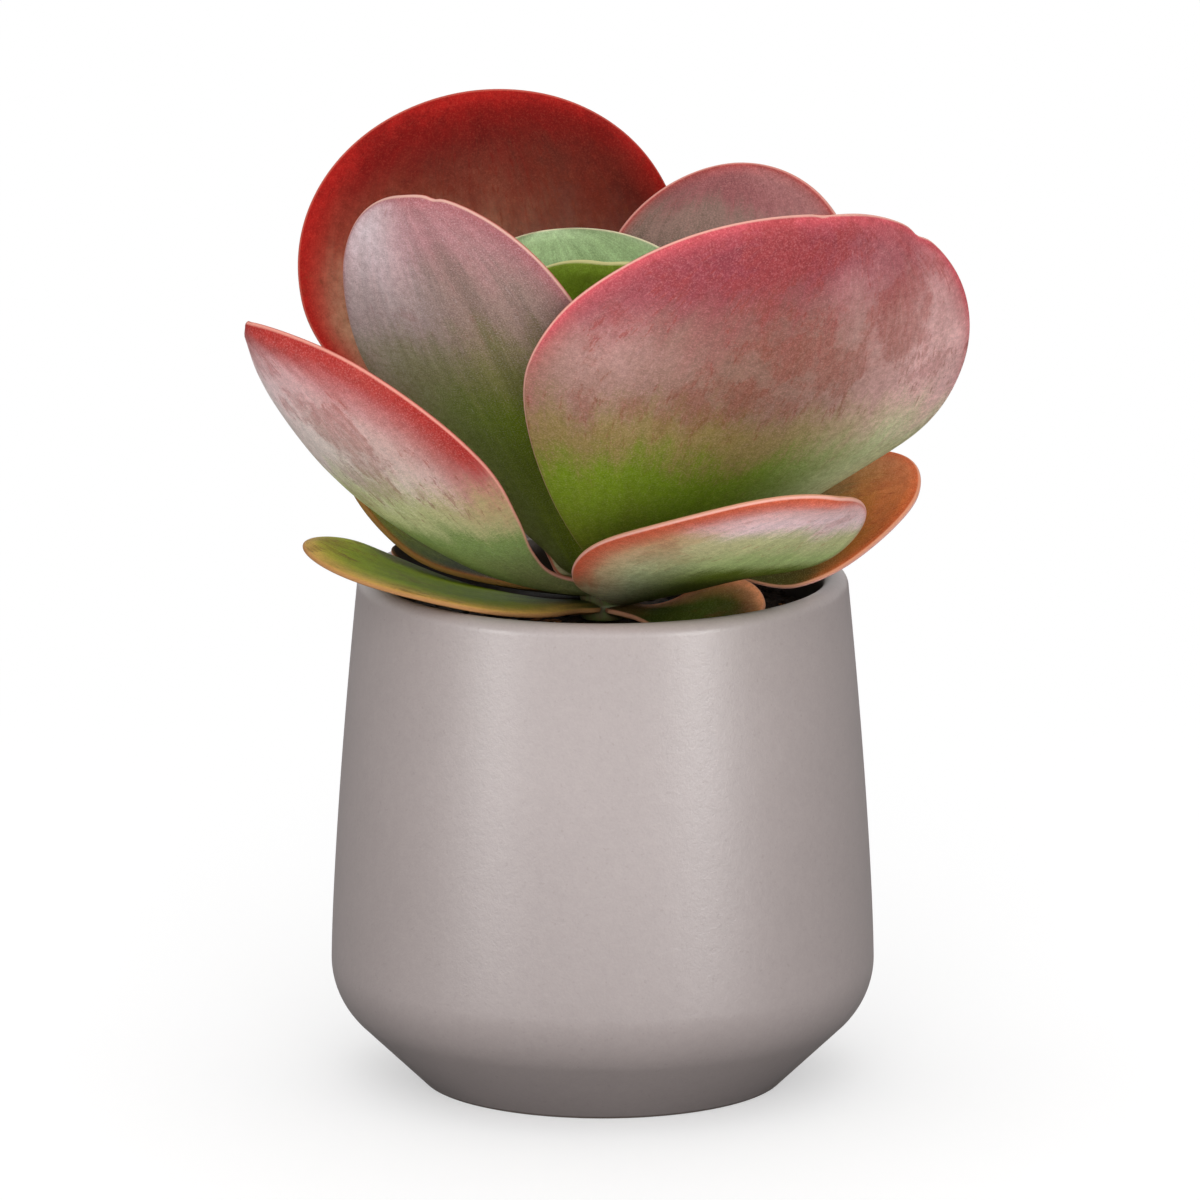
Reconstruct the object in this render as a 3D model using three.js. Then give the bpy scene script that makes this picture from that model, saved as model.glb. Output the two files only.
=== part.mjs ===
// A paddle plant in its pot. Millimetres, +Z up, front towards -Y, +X to the right.
// The origin is the centre of the pot's flat underside, on the pot's own axis.
import * as THREE from "three";

const { sin, cos, sqrt, hypot, log, min, PI } = Math;
const radians = THREE.MathUtils.degToRad;
const mix = THREE.MathUtils.lerp;
const smooth = (x) => THREE.MathUtils.smoothstep(x, 0, 1);

// Kept between pieces that rest on each other.
const GAP = 0.3;

// ------------------------------------------------------------------ pot

const POT = {
  height: 129,
  footRadius: 44.5,
  bellyRadius: 68,
  bellyHeight: 31,
  shoulder: 21,
  lipRadius: 61.4,
  lipRound: 3.2,
  wall: 6,
  floor: 8,
  sides: 48,
};

// Part of a circle, as points of a lathe profile.
function arc(centreR, centreZ, radius, fromDegrees, toDegrees, steps) {
  return Array.from({ length: steps + 1 }, (_, i) => {
    const angle = radians(mix(fromDegrees, toDegrees, i / steps));
    return new THREE.Vector2(centreR + radius * cos(angle), centreZ + radius * sin(angle));
  });
}

// A profile turned about the upright axis.
function turned(profile, sides) {
  return new THREE.LatheGeometry(profile, sides).rotateX(PI / 2);
}

// The taper eases off the belly and ends at the lip, at any share of that height.
function taper(share, inset) {
  const { bellyRadius, bellyHeight, lipRadius, lipRound, height } = POT;
  const radius = mix(bellyRadius, lipRadius, share ** 1.4);
  return new THREE.Vector2(radius - inset, mix(bellyHeight, height - lipRound, share));
}

// Foot, 45 degree skirt rounding into the belly, taper and rounded lip.
function potOutside() {
  const { height, footRadius, bellyRadius, bellyHeight, shoulder, lipRadius, lipRound } = POT;
  return [
    new THREE.Vector2(0, 0),
    new THREE.Vector2(footRadius, 0),
    new THREE.Vector2(footRadius + 2, 1.6),
    ...arc(bellyRadius - shoulder, bellyHeight, shoulder, -45, 0, 6),
    ...[0.25, 0.5, 0.75].map((share) => taper(share, 0)),
    ...arc(lipRadius - lipRound, height - lipRound, lipRound, 0, 180, 6),
  ];
}

// The inside follows the outside at one wall's thickness, down to the floor.
function potInside(inset, floor) {
  const { bellyRadius, bellyHeight, shoulder, footRadius } = POT;
  const insideShoulder = shoulder - inset;
  return [
    ...[0.85, 0.5, 0.25].map((share) => taper(share, inset)),
    ...arc(bellyRadius - shoulder, bellyHeight, insideShoulder, 0, -50, 5),
    new THREE.Vector2(footRadius - (inset - POT.wall) - 2, floor),
    new THREE.Vector2(0, floor),
  ];
}

function potGeometry() {
  const profile = [...potOutside(), ...potInside(POT.wall, POT.floor)];
  return turned(profile, POT.sides);
}

// ------------------------------------------------------------------ soil and stem

const SOIL = { top: 117, crown: 1, sides: 36 };

// Soil fills the pot to a little under the rim, and its surface is slightly crowned.
function soilGeometry() {
  const wallSide = potInside(POT.wall + 2 * GAP, POT.floor + GAP).slice(1).reverse();
  const surface = [
    new THREE.Vector2(55.4, SOIL.top - 1),
    new THREE.Vector2(53.5, SOIL.top),
    new THREE.Vector2(24, SOIL.top + SOIL.crown * 0.7),
    new THREE.Vector2(0, SOIL.top + SOIL.crown),
  ];
  return turned([...wallSide, ...surface], SOIL.sides);
}

const STEM = { radius: 5.7, tipRadius: 2, straight: 124, top: 137 };

// A short fleshy stem, straight up to the lower leaves and then narrowing to its tip.
function stemGeometry() {
  const bottom = SOIL.top + SOIL.crown + GAP;
  const { radius, tipRadius, straight, top } = STEM;
  const profile = [
    new THREE.Vector2(0, bottom),
    new THREE.Vector2(radius, bottom),
    new THREE.Vector2(radius, straight),
    new THREE.Vector2(mix(radius, tipRadius, 0.45), mix(straight, top, 0.4)),
    new THREE.Vector2(tipRadius, top - 1.2),
    new THREE.Vector2(0, top),
  ];
  return turned(profile, 24);
}

// ------------------------------------------------------------------ leaves

// Leaves grow in pairs. Each pair stands a quarter turn round from the one below it.
// out and height place the foot of a leaf, foot is its width and depth its thickness there.
const PAIRS = {
  1: { out: 8, height: 120.4, foot: 11, depth: 2.8 },
  2: { out: 8, height: 121.5, foot: 13, depth: 3.4 },
  3: { out: 8, height: 124, foot: 14, depth: 3.8 },
  4: { out: 8, height: 126.6, foot: 15, depth: 4 },
  5: { out: 8, height: 129.5, foot: 15, depth: 4.4 },
  6: { out: 7.3, height: 132, foot: 14, depth: 4.4 },
  7: { out: 6, height: 134.5, foot: 10, depth: 4 },
  8: { out: 2.2, height: 138, foot: 5, depth: 2.6 },
};

// heading and turn: which way a leaf points, in degrees from +X, and how far it swings.
// rise: its climb in degrees at the foot and at the tip. roll: its twist about the midrib.
// veer: how far the midrib curves within the blade. cup: how far the margins curl up.
// broad: where along its length the blade is widest. taper: over 1 for a narrow lower half.
// point: over 0.5 for a tip that is less blunt. lean: how much wider one half is.
// thick: the blade's thickness along its middle.
const USUAL = { broad: 0.64, taper: 0.86, point: 0.5, lean: 0, thick: 3.6 };

const LEAVES = {
  leaf_1_front_right: {
    pair: 1, heading: -49, turn: 37, rise: [3, 14], roll: 28, veer: 3, cup: 18,
    length: 41, width: 24, taper: 0.95, thick: 3.0,
  },
  leaf_1_back_left: {
    pair: 1, heading: 166, turn: 9, rise: [-1, 28], roll: -18, veer: -2, cup: 9,
    length: 50, width: 15, thick: 2.0,
  },
  leaf_2_front_left: {
    pair: 2, heading: -135, turn: -57, rise: [7, 25], roll: 1, veer: -4, cup: 3,
    length: 77, width: 53.5, broad: 0.5, taper: 1.36, lean: -0.07,
  },
  leaf_2_back_right: {
    pair: 2, heading: 37, turn: 0, rise: [9, 24], roll: 0, veer: 0, cup: 19,
    length: 56, width: 34,
  },
  leaf_3_front_right: {
    pair: 3, heading: -76, turn: 30, rise: [16, 32], roll: -10, veer: 8, cup: 12,
    length: 107, width: 63, broad: 0.53, taper: 0.72,
  },
  leaf_3_back_left: {
    pair: 3, heading: 173, turn: 5, rise: [3, 51], roll: -8, veer: -5, cup: 10,
    length: 69, width: 42, taper: 0.81,
  },
  leaf_4_front_left: {
    pair: 4, heading: -136, turn: -5, rise: [11, 65], roll: -8, veer: -8, cup: 35,
    length: 134, width: 90, taper: 1.01, point: 0.75, lean: 0.10,
  },
  leaf_4_back_right: {
    pair: 4, heading: 4, turn: -31, rise: [15, 25], roll: 29, veer: -7, cup: 4,
    length: 80, width: 48, taper: 0.90,
  },
  leaf_5_front_right: {
    pair: 5, heading: -54, turn: 2, rise: [21, 84], roll: -11, veer: 3, cup: 24,
    length: 139, width: 123, broad: 0.62, taper: 0.59, lean: -0.11,
  },
  leaf_5_back_left: {
    pair: 5, heading: 120, turn: -21, rise: [42, 90], roll: -6, veer: 8, cup: 3,
    length: 127.5, width: 98.5, lean: 0.02,
  },
  leaf_6_front_left: {
    pair: 6, heading: -110, turn: -22, rise: [42, 68], roll: 6, veer: -7, cup: 10,
    length: 131, width: 70, taper: 0.50,
  },
  leaf_6_back_right: {
    pair: 6, heading: 30, turn: 27, rise: [46, 80], roll: 32, veer: 9, cup: 28,
    length: 106, width: 67, broad: 0.67,
  },
  leaf_7_front_right: {
    pair: 7, heading: -79, turn: -23, rise: [72, 63], roll: -5, veer: -4, cup: 26,
    length: 87, width: 66, thick: 3.2,
  },
  leaf_7_back_left: {
    pair: 7, heading: 122, turn: -5, rise: [78, 77], roll: -11, veer: 2, cup: 38,
    length: 80, width: 79, taper: 0.90, thick: 3.4,
  },
  leaf_8_front_left: {
    pair: 8, heading: -139, turn: 0, rise: [82, 82], roll: 0, veer: -1, cup: 33,
    length: 30, width: 15, thick: 2.2,
  },
  leaf_8_back_right: {
    pair: 8, heading: 35, turn: 0, rise: [82, 82], roll: 1, veer: -4, cup: 31,
    length: 34, width: 15, thick: 2.2,
  },
};

const MARGIN_THICKNESS = 1.4;
const STATIONS = 15;
const ACROSS = [-0.95, -0.5, 0, 0.5, 0.95];

// Which of four directions round the stem a leaf's foot stands in.
function footDirection(name) {
  return { front_right: -45, back_left: 135, front_left: -135, back_right: 45 }[name.slice(7)];
}

// The leaf's own axes at a share t of its length: along the midrib, to its side, and
// out of its upper face.
function axesAt(leaf, t) {
  const compass = radians(leaf.heading + leaf.turn * t);
  const climb = radians(mix(leaf.rise[0], leaf.rise[1], t));
  const flat = new THREE.Vector3(cos(compass), sin(compass), 0);
  const along = flat.multiplyScalar(cos(climb)).setZ(sin(climb));
  const side = new THREE.Vector3(-sin(compass), cos(compass), 0);
  const face = along.clone().cross(side);
  const roll = radians(leaf.roll) * smooth(t / 0.6);
  side.applyAxisAngle(along, roll);
  face.applyAxisAngle(along, roll);
  const veer = radians(leaf.veer * t);
  along.applyAxisAngle(face, veer);
  side.applyAxisAngle(face, veer);
  return { along, side, face };
}

// Walks the midrib from the foot to the tip in small steps.
function walkMidrib(leaf, direction) {
  const steps = 120;
  const { out, height } = PAIRS[leaf.pair];
  const point = new THREE.Vector3(out * cos(direction), out * sin(direction), height);
  const walked = [];
  for (let i = 0; i <= steps; i++) {
    const axes = axesAt(leaf, i / steps);
    walked.push({ point: point.clone(), ...axes });
    point.addScaledVector(axes.along, leaf.length / steps);
  }
  return (t) => walked[Math.round(t * steps)];
}

// Half the blade's width: a narrow foot, a swelling sine and a rounded end.
function halfWidth(leaf, t) {
  const { broad, taper, point } = leaf;
  const swelling = sin(PI * t ** (log(0.5) / log(broad))) ** taper;
  const rounding = (1 - ((t - broad) / (1 - broad)) ** 2.1) ** point;
  const blade = t < broad ? swelling : rounding;
  const foot = (PAIRS[leaf.pair].foot / 2) * sqrt((1 - t) * (1 - blade * blade));
  return hypot((leaf.width / 2) * blade, foot);
}

// Half the thickness at a share t along and v across, from -1 to 1.
function halfThickness(leaf, t, v, half) {
  const middle = mix(PAIRS[leaf.pair].depth, leaf.thick, smooth(t / 0.35)) / 2;
  const edge = MARGIN_THICKNESS / 2;
  return min(edge + (middle - edge) * (1 - v * v), 0.6 * half);
}

// One ring of points round the leaf: over the upper face, then back under the lower.
function ringAt(leaf, t, { point, side, face }) {
  const half = halfWidth(leaf, t);
  const cup = radians(leaf.cup);
  const place = (v, offset) => {
    const reach = (half * (1 + leaf.lean * Math.sign(v))) / cup;
    return point
      .clone()
      .addScaledVector(side, reach * sin(cup * v) - offset * sin(cup * v))
      .addScaledVector(face, reach * (1 - cos(cup * v)) + offset * cos(cup * v));
  };
  const upper = ACROSS.map((v) => place(v, halfThickness(leaf, t, v, half)));
  const lower = ACROSS.map((v) => place(v, -halfThickness(leaf, t, v, half)));
  return [place(-1, 0), ...upper, place(1, 0), ...lower.reverse()];
}

function leafGeometry(name) {
  const leaf = { ...USUAL, ...LEAVES[name] };
  const midribAt = walkMidrib(leaf, radians(footDirection(name)));
  // Stations stand closer together towards the tip, where the outline turns fastest.
  const stations = Array.from({ length: STATIONS }, (_, i) => 1 - (1 - i / STATIONS) ** 1.7);
  const rings = stations.map((t) => ringAt(leaf, t, midribAt(t)));
  const count = rings[0].length;
  const points = [...rings.flat(), midribAt(0).point, midribAt(1).point];
  const footCentre = points.length - 2;
  const tip = points.length - 1;
  const faces = [];
  for (let j = 0; j < count; j++) {
    const next = (j + 1) % count;
    const last = (STATIONS - 1) * count;
    faces.push(footCentre, j, next);
    faces.push(last + j, tip, last + next);
    for (let i = 0; i < STATIONS - 1; i++) {
      const here = i * count;
      const there = here + count;
      faces.push(here + j, there + j, here + next);
      faces.push(here + next, there + j, there + next);
    }
  }
  const geometry = new THREE.BufferGeometry().setFromPoints(points);
  geometry.setIndex(faces);
  geometry.computeVertexNormals();
  return geometry;
}

// ------------------------------------------------------------------ the part

const COLOURS = {
  pot: ["#a39b98", 0.55],
  soil: ["#2a211b", 0.95],
  stem: ["#6f7d3c", 0.6],
  withered: ["#6b4a2c", 0.8],
  green: ["#7f9a52", 0.5],
  rose: ["#b07a74", 0.5],
  crimson: ["#8a2c2a", 0.5],
};

const LEAF_COLOURS = {
  leaf_1_back_left: "withered",
  leaf_4_back_right: "rose",
  leaf_4_front_left: "rose",
  leaf_5_front_right: "rose",
  leaf_5_back_left: "crimson",
  leaf_6_front_left: "rose",
  leaf_6_back_right: "rose",
};

const part = new THREE.Group();
part.name = "paddle_plant_in_pot";

function addPiece(name, geometry, colourName) {
  const [color, roughness] = COLOURS[colourName];
  const material = new THREE.MeshStandardMaterial({ color, roughness, metalness: 0 });
  const piece = new THREE.Mesh(geometry, material);
  piece.name = name;
  part.add(piece);
}

addPiece("pot", potGeometry(), "pot");
addPiece("soil", soilGeometry(), "soil");
addPiece("stem", stemGeometry(), "stem");
for (const name of Object.keys(LEAVES)) {
  addPiece(name, leafGeometry(name), LEAF_COLOURS[name] ?? "green");
}

export default part;
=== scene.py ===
# %% [markdown]
# # A paddle plant in its pot
# The object is a succulent with broad, flat, fleshy leaves that stand in pairs on a short stem,
# growing in dark soil in a round-bellied stoneware pot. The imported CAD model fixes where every
# piece is. This lesson builds the fine leaves, soil, stem and pot around it, and paints them.
# All lengths are in metres unless a name or a comment says millimetres.

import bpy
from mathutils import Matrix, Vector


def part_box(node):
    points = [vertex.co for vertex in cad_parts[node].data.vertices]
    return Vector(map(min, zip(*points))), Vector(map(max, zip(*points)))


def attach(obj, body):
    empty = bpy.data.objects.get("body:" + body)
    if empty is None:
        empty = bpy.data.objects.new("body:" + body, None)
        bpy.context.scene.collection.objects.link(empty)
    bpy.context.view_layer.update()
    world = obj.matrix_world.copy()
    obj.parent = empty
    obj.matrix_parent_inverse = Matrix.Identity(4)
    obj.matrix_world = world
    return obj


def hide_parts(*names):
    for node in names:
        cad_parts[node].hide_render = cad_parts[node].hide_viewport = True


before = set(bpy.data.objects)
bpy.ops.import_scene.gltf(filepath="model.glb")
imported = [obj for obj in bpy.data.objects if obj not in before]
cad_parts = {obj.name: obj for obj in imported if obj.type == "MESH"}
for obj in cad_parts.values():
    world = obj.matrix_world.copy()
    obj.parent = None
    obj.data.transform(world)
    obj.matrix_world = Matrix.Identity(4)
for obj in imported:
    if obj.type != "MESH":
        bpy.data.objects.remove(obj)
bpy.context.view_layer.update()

# %% [markdown]
# ## Tools used all through
# Meshes are worked out with numpy, because a leaf is a grid of points that one formula places.
# Random choices come from one seeded generator for each piece, so every run gives the same plant.

# %% Modules and short helpers
import math

import bmesh
import bpy
import numpy as np
from mathutils import Matrix, Vector, noise

MM = 0.001


def smooth(x):
    """An even S-shaped rise from 0 to 1."""
    x = np.clip(x, 0, 1)
    return x * x * (3 - 2 * x)


def mix(a, b, share):
    """The value that lies at a share of the way from a to b."""
    return a + (b - a) * share


def paint(hex_colour):
    """A linear colour with alpha from a display colour such as #a39b98."""
    shown = [int(hex_colour[i:i + 2], 16) / 255 for i in (1, 3, 5)]
    return (*[c / 12.92 if c <= 0.04045 else ((c + 0.055) / 1.055) ** 2.4 for c in shown], 1.0)


def corner(node):
    """The two opposite corners of a CAD node, as numpy arrays."""
    low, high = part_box(node)
    return np.array(low), np.array(high)


pot_low, pot_high = corner("pot")
print("pot:", pot_low.round(4), pot_high.round(4))

# %% [markdown]
# ## Wiring helpers
# Every finish below is a small network of shader nodes. A helper class keeps the wiring short:
# each method adds one node, plugs in numbers or other sockets, and returns the output socket.

# %% A class that wires nodes
class Wiring:
    def __init__(self, tree):
        self.tree = tree

    def put(self, node, **values):
        """Fills a node's inputs by name, with numbers or with sockets to link."""
        for name, value in values.items():
            socket = node.inputs[name.replace("_", " ")]
            self.plug(value, socket)
        return node

    def plug(self, value, socket):
        """Links a socket, or sets a number, a vector or a colour."""
        if isinstance(value, bpy.types.NodeSocket):
            self.tree.links.new(value, socket)
        else:
            socket.default_value = value

    def node(self, kind):
        return self.tree.nodes.new(kind)

    def attribute(self, name, output="Fac"):
        found = self.node("ShaderNodeAttribute")
        found.attribute_name = name
        return found.outputs[output]

    def sum(self, operation, a, b=0.0, c=0.0):
        """One step of arithmetic. The methods below name the steps used most."""
        step = self.node("ShaderNodeMath")
        step.operation = operation
        for value, socket in zip((a, b, c), step.inputs):
            self.plug(value, socket)
        return step.outputs[0]

    def times(self, first, *others):
        """All the values multiplied with each other."""
        for other in others:
            first = self.sum("MULTIPLY", first, other)
        return first

    def plus(self, a, b):
        return self.sum("ADD", a, b)

    def minus(self, a, b):
        return self.sum("SUBTRACT", a, b)

    def times_plus(self, a, b, c):
        """a times b, plus c."""
        return self.sum("MULTIPLY_ADD", a, b, c)

    def sway(self, pattern, amount, base):
        """Moves base up and down by half of amount while a pattern goes from 0 to 1."""
        return self.times_plus(self.minus(pattern, 0.5), amount, base)

    def band(self, value, low, high, start=0.0, end=1.0):
        """Goes smoothly from start to end while value goes from low to high."""
        step = self.node("ShaderNodeMapRange")
        step.interpolation_type = "SMOOTHSTEP"
        for wanted, socket in zip((value, low, high, start, end), step.inputs):
            self.plug(wanted, socket)
        return step.outputs[0]

    def blend(self, share, a, b, way="MIX"):
        """Mixes colour a with colour b by share. The node keeps its colours in sockets 6 and 7."""
        step = self.node("ShaderNodeMix")
        step.data_type = "RGBA"
        step.blend_type = way
        for value, name in ((share, 0), (a, 6), (b, 7)):
            self.plug(value, step.inputs[name])
        return step.outputs[2]

    def axis(self, vector, name):
        """One part of a vector: X, Y or Z."""
        parts = self.node("ShaderNodeSeparateXYZ")
        self.plug(vector, parts.inputs[0])
        return parts.outputs[name]

    def layer(self, share, under, over):
        """Mixes two shaders, for the studio only."""
        step = self.node("ShaderNodeMixShader")
        for value, socket in zip((share, under, over), step.inputs):
            self.plug(value, socket)
        return step.outputs[0]

    def stretch(self, vector, scale):
        """Multiplies each part of a vector by its own number."""
        step = self.node("ShaderNodeVectorMath")
        step.operation = "MULTIPLY"
        self.plug(vector, step.inputs[0])
        self.plug(scale, step.inputs[1])
        return step.outputs[0]

    def length(self, vector):
        step = self.node("ShaderNodeVectorMath")
        step.operation = "LENGTH"
        self.plug(vector, step.inputs[0])
        return step.outputs["Value"]

    def place(self):
        """Where a point of the surface lies on its object, in metres."""
        return self.node("ShaderNodeTexCoord").outputs["Object"]

    def cloud(self, vector, scale, detail, roughness):
        """Cloudy noise from about 0.3 to 0.7. scale is how often it repeats in a unit of length."""
        step = self.node("ShaderNodeTexNoise")
        self.put(step, Vector=vector, Scale=scale, Detail=detail, Roughness=roughness)
        return step.outputs["Fac"]

    def drawn_cloud(self, vector, scales, detail, roughness):
        """Cloudy noise drawn out one way, with its own scale for each axis."""
        return self.cloud(self.stretch(vector, scales), 1.0, detail, roughness)


SOCKET_KINDS = {"value": "NodeSocketFloat", "colour": "NodeSocketColor", "vector": "NodeSocketVector"}


def new_group(name, inputs, outputs):
    """An empty shader group. inputs and outputs give the name and the kind of each socket."""
    group = bpy.data.node_groups.new(name, "ShaderNodeTree")
    for way, sockets in (("INPUT", inputs), ("OUTPUT", outputs)):
        for socket_name, kind in sockets.items():
            group.interface.new_socket(socket_name, in_out=way, socket_type=SOCKET_KINDS[kind])
    wiring = Wiring(group)
    entry = group.nodes.new("NodeGroupInput").outputs
    leave = group.nodes.new("NodeGroupOutput").inputs
    return group, wiring, entry, leave


def place_group(wiring, group, **values):
    """Places a group in a material or in another group, and fills its inputs."""
    node = wiring.node("ShaderNodeGroup")
    node.node_tree = group
    return wiring.put(node, **values).outputs


def new_finish(name, roughness=0.5, **constants):
    """A material with an empty Principled shader. Constants are set on the shader's own sockets."""
    material = bpy.data.materials.new(name)
    material.use_nodes = True
    wiring = Wiring(material.node_tree)
    shader = material.node_tree.nodes["Principled BSDF"]
    wiring.put(shader, Roughness=roughness, **constants)
    return material, wiring, shader


def bump(wiring, shader, height, distance, strength):
    """Turns a height that varies over the surface into small relief."""
    relief = wiring.node("ShaderNodeBump")
    wiring.put(relief, Height=height, Distance=distance, Strength=strength)
    wiring.plug(relief.outputs[0], shader.inputs["Normal"])


# %% [markdown]
# ## The camera
# A long lens four metres away looks slightly down, so upright lines stay nearly parallel and only
# a little of the pot's rim opens up. The lens is worked out from how many pixels one metre of the
# plant should cover at the pot's axis, and the aim is the point that lands in mid frame.

# %% Place the camera
FRAME_PX = 1200
PX_PER_M = 4006
DISTANCE = 4.0
ELEVATION = math.radians(12.5)
AIM = Vector((-0.00067, 0.0, 0.1221))

lens = bpy.data.cameras.new("studio_camera")
lens.sensor_width = 36
lens.lens = PX_PER_M * DISTANCE * lens.sensor_width / FRAME_PX
lens.clip_end = 50
camera = bpy.data.objects.new("studio_camera", lens)
back = Vector((0, -math.cos(ELEVATION), math.sin(ELEVATION)))
camera.location = AIM + DISTANCE * back
camera.rotation_euler = back.to_track_quat("Z", "Y").to_euler()
bpy.context.scene.collection.objects.link(camera)
bpy.context.scene.camera = camera
print("lens %.0f mm, camera at" % lens.lens, tuple(round(c, 3) for c in camera.location))

# %% [markdown]
# ## The studio
# A white sweep with very soft light: white surroundings, a little darker at the sides so that the
# pot's edges fall off, and a wide, low softbox in front, which lights the undersides that the
# leaves turn to the viewer, with a weaker one above it. A white board on the floor in front of
# the plant throws light up into it, and the rest of the floor throws back little. Two small cards
# on the left and right only show as reflections: they draw the upright highlights down the pot.
# Where the camera sees the floor, it fades into pure white away from the pot.

# %% Surroundings and softboxes
scene = bpy.context.scene
scene.view_settings.view_transform = "Standard"

WORLD_SHOWN = 1.0
WORLD_AHEAD, WORLD_ASIDE = 1.15, 0.7
ASIDE_FROM, ASIDE_TO = 0.2, 0.9
LIT_POINT = Vector((0, 0, 0.12))

world = bpy.data.worlds.new("white_studio")
scene.world = world
world.use_nodes = True
w = Wiring(world.node_tree)
seen = w.node("ShaderNodeLightPath").outputs["Is Camera Ray"]
aside = w.sum("ABSOLUTE", w.axis(w.node("ShaderNodeTexCoord").outputs["Generated"], "X"))
lighting = w.band(aside, ASIDE_FROM, ASIDE_TO, WORLD_AHEAD, WORLD_ASIDE)
surroundings = world.node_tree.nodes["Background"]
w.put(surroundings, Color=(1, 1, 1, 1), Strength=w.band(seen, 0.0, 1.0, lighting, WORLD_SHOWN))


def softbox(name, place, size, glow):
    """A softbox facing the plant. glow is how bright its cloth is next to white surroundings."""
    light = bpy.data.lights.new(name, "AREA")
    light.shape = "RECTANGLE"
    light.size, light.size_y = size
    light.energy = glow * math.pi * size[0] * size[1]
    holder = bpy.data.objects.new(name, light)
    holder.location = place
    holder.rotation_euler = (Vector(place) - LIT_POINT).to_track_quat("Z", "Y").to_euler()
    holder.visible_camera = False
    scene.collection.objects.link(holder)
    return holder


softbox("softbox_front", (0, -2.3, 0.5), (2.4, 0.9), 3.05)
softbox("softbox_over_front", (0, -2.5, 1.6), (1.6, 1.2), 1.6)

CARD_SIZE = (0.4, 0.4)
CARDS = {"card_left": ((-1.27, -1.15, 0.32), 31.0), "card_right": ((1.16, -1.26, 0.32), 40.0)}
for name, (place, glow) in CARDS.items():
    card = softbox(name, place, CARD_SIZE, glow)
    card.visible_diffuse = False

# %% The floor
FLOOR_HALF = 8.0
BOUNCE_PLAIN, BOUNCE_BOARD = 0.2, 0.85
BOARD_FROM, BOARD_TO = -0.1, -0.4
FLOOR_SHOWN = (0.98, 0.98, 0.98, 1)
FADE_FROM, FADE_TO = 0.12, 0.5
GLOW_NEAR = 0.45

floor_mesh = bpy.data.meshes.new("floor")
floor_corners = [(x * FLOOR_HALF, y * FLOOR_HALF, 0) for x, y in ((-1, -1), (1, -1), (1, 1), (-1, 1))]
floor_mesh.from_pydata(floor_corners, [], [(0, 1, 2, 3)])
floor = bpy.data.objects.new("floor", floor_mesh)
scene.collection.objects.link(floor)
floor_paint = bpy.data.materials.new("white_sweep")
floor_paint.use_nodes = True
floor_paint.node_tree.nodes.clear()
w = Wiring(floor_paint.node_tree)
where = w.place()
away = w.length(where)
ahead = w.band(w.axis(where, "Y"), BOARD_TO, BOARD_FROM, BOUNCE_BOARD, BOUNCE_PLAIN)
bounce = w.put(w.node("ShaderNodeBsdfDiffuse"), Color=ahead)
sheet = w.put(w.node("ShaderNodeBsdfDiffuse"), Color=FLOOR_SHOWN)
glow = w.node("ShaderNodeEmission")
glowing = w.band(away, FADE_FROM, FADE_TO, GLOW_NEAR, 1.0)
swept = w.layer(glowing, sheet.outputs[0], glow.outputs[0])
seen = w.node("ShaderNodeLightPath").outputs["Is Camera Ray"]
surface = w.layer(seen, bounce.outputs[0], swept)
w.plug(surface, w.node("ShaderNodeOutputMaterial").inputs["Surface"])
floor_mesh.materials.append(floor_paint)
print("floor:", 2 * FLOOR_HALF, "m square")

# %% [markdown]
# ## Streaks, sun marks and bloom
# A paddle leaf is never one flat colour. Its veins fan out from the foot as faint streaks, strong
# sun leaves patches and short scratches, and a powdery bloom lies over everything, in drifts.
# Each of these is one group that gives a mask, so every leaf can use it in its own strength. They
# read the leaf's own measure in millimetres across and along, so no pattern is stretched where a
# leaf is wide. Every scale is how often a pattern repeats in one millimetre, across and along,
# and every name with SEEN holds the part of the noise's range that is spread over 0 to 1.

# %% Group: streaks that fan out from the foot
BROAD_VEINS = (0.16, 0.012, 1)
FINE_VEINS = (1.1, 0.05, 1)
FINE_SHARE = 0.4
VEINS_SEEN = (0.36, 0.64)

streaks, w, given, wanted = new_group("vein_streaks", {"Fan": "vector"}, {"Streak": "value"})
broad_veins = w.drawn_cloud(given["Fan"], BROAD_VEINS, 3.0, 0.55)
fine_veins = w.drawn_cloud(given["Fan"], FINE_VEINS, 3.0, 0.65)
both_veins = w.times_plus(fine_veins, FINE_SHARE, w.times(broad_veins, 1 - FINE_SHARE))
w.plug(w.band(both_veins, *VEINS_SEEN), wanted["Streak"])
print("built group", streaks.name)

# %% Group: sun marks
PATCHES = (0.06, 0.045, 1)
SCRATCHES = (0.75, 0.16, 1)
SCUFFS = (0.8, 0.25, 1)
NEAR_PATCH_SEEN = (0.46, 0.54)


def high_places(w, pattern, amount, threshold, drop, softness):
    """A mask of where a pattern is high. The threshold drops as amount grows, so more shows."""
    edge = w.times_plus(amount, -drop, threshold)
    return w.band(pattern, edge, w.plus(edge, softness))


sun_marks, w, given, wanted = new_group(
    "sun_marks", {"Place": "vector", "Fan": "vector", "Amount": "value", "Rubbed": "value"},
    {"Patch": "value", "Scratch": "value", "Scuff": "value"})
patch = w.drawn_cloud(given["Place"], PATCHES, 6.0, 0.68)
w.plug(high_places(w, patch, given["Amount"], 0.6, 0.15, 0.12), wanted["Patch"])
scratch = w.drawn_cloud(given["Fan"], SCRATCHES, 3.0, 0.7)
scratched = high_places(w, scratch, given["Amount"], 0.62, 0.1, 0.08)
w.plug(w.times(scratched, w.band(patch, *NEAR_PATCH_SEEN)), wanted["Scratch"])
scuff = w.drawn_cloud(given["Fan"], SCUFFS, 5.0, 0.7)
w.plug(high_places(w, scuff, given["Rubbed"], 0.58, 0.08, 0.2), wanted["Scuff"])
print("built group", sun_marks.name)

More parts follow.
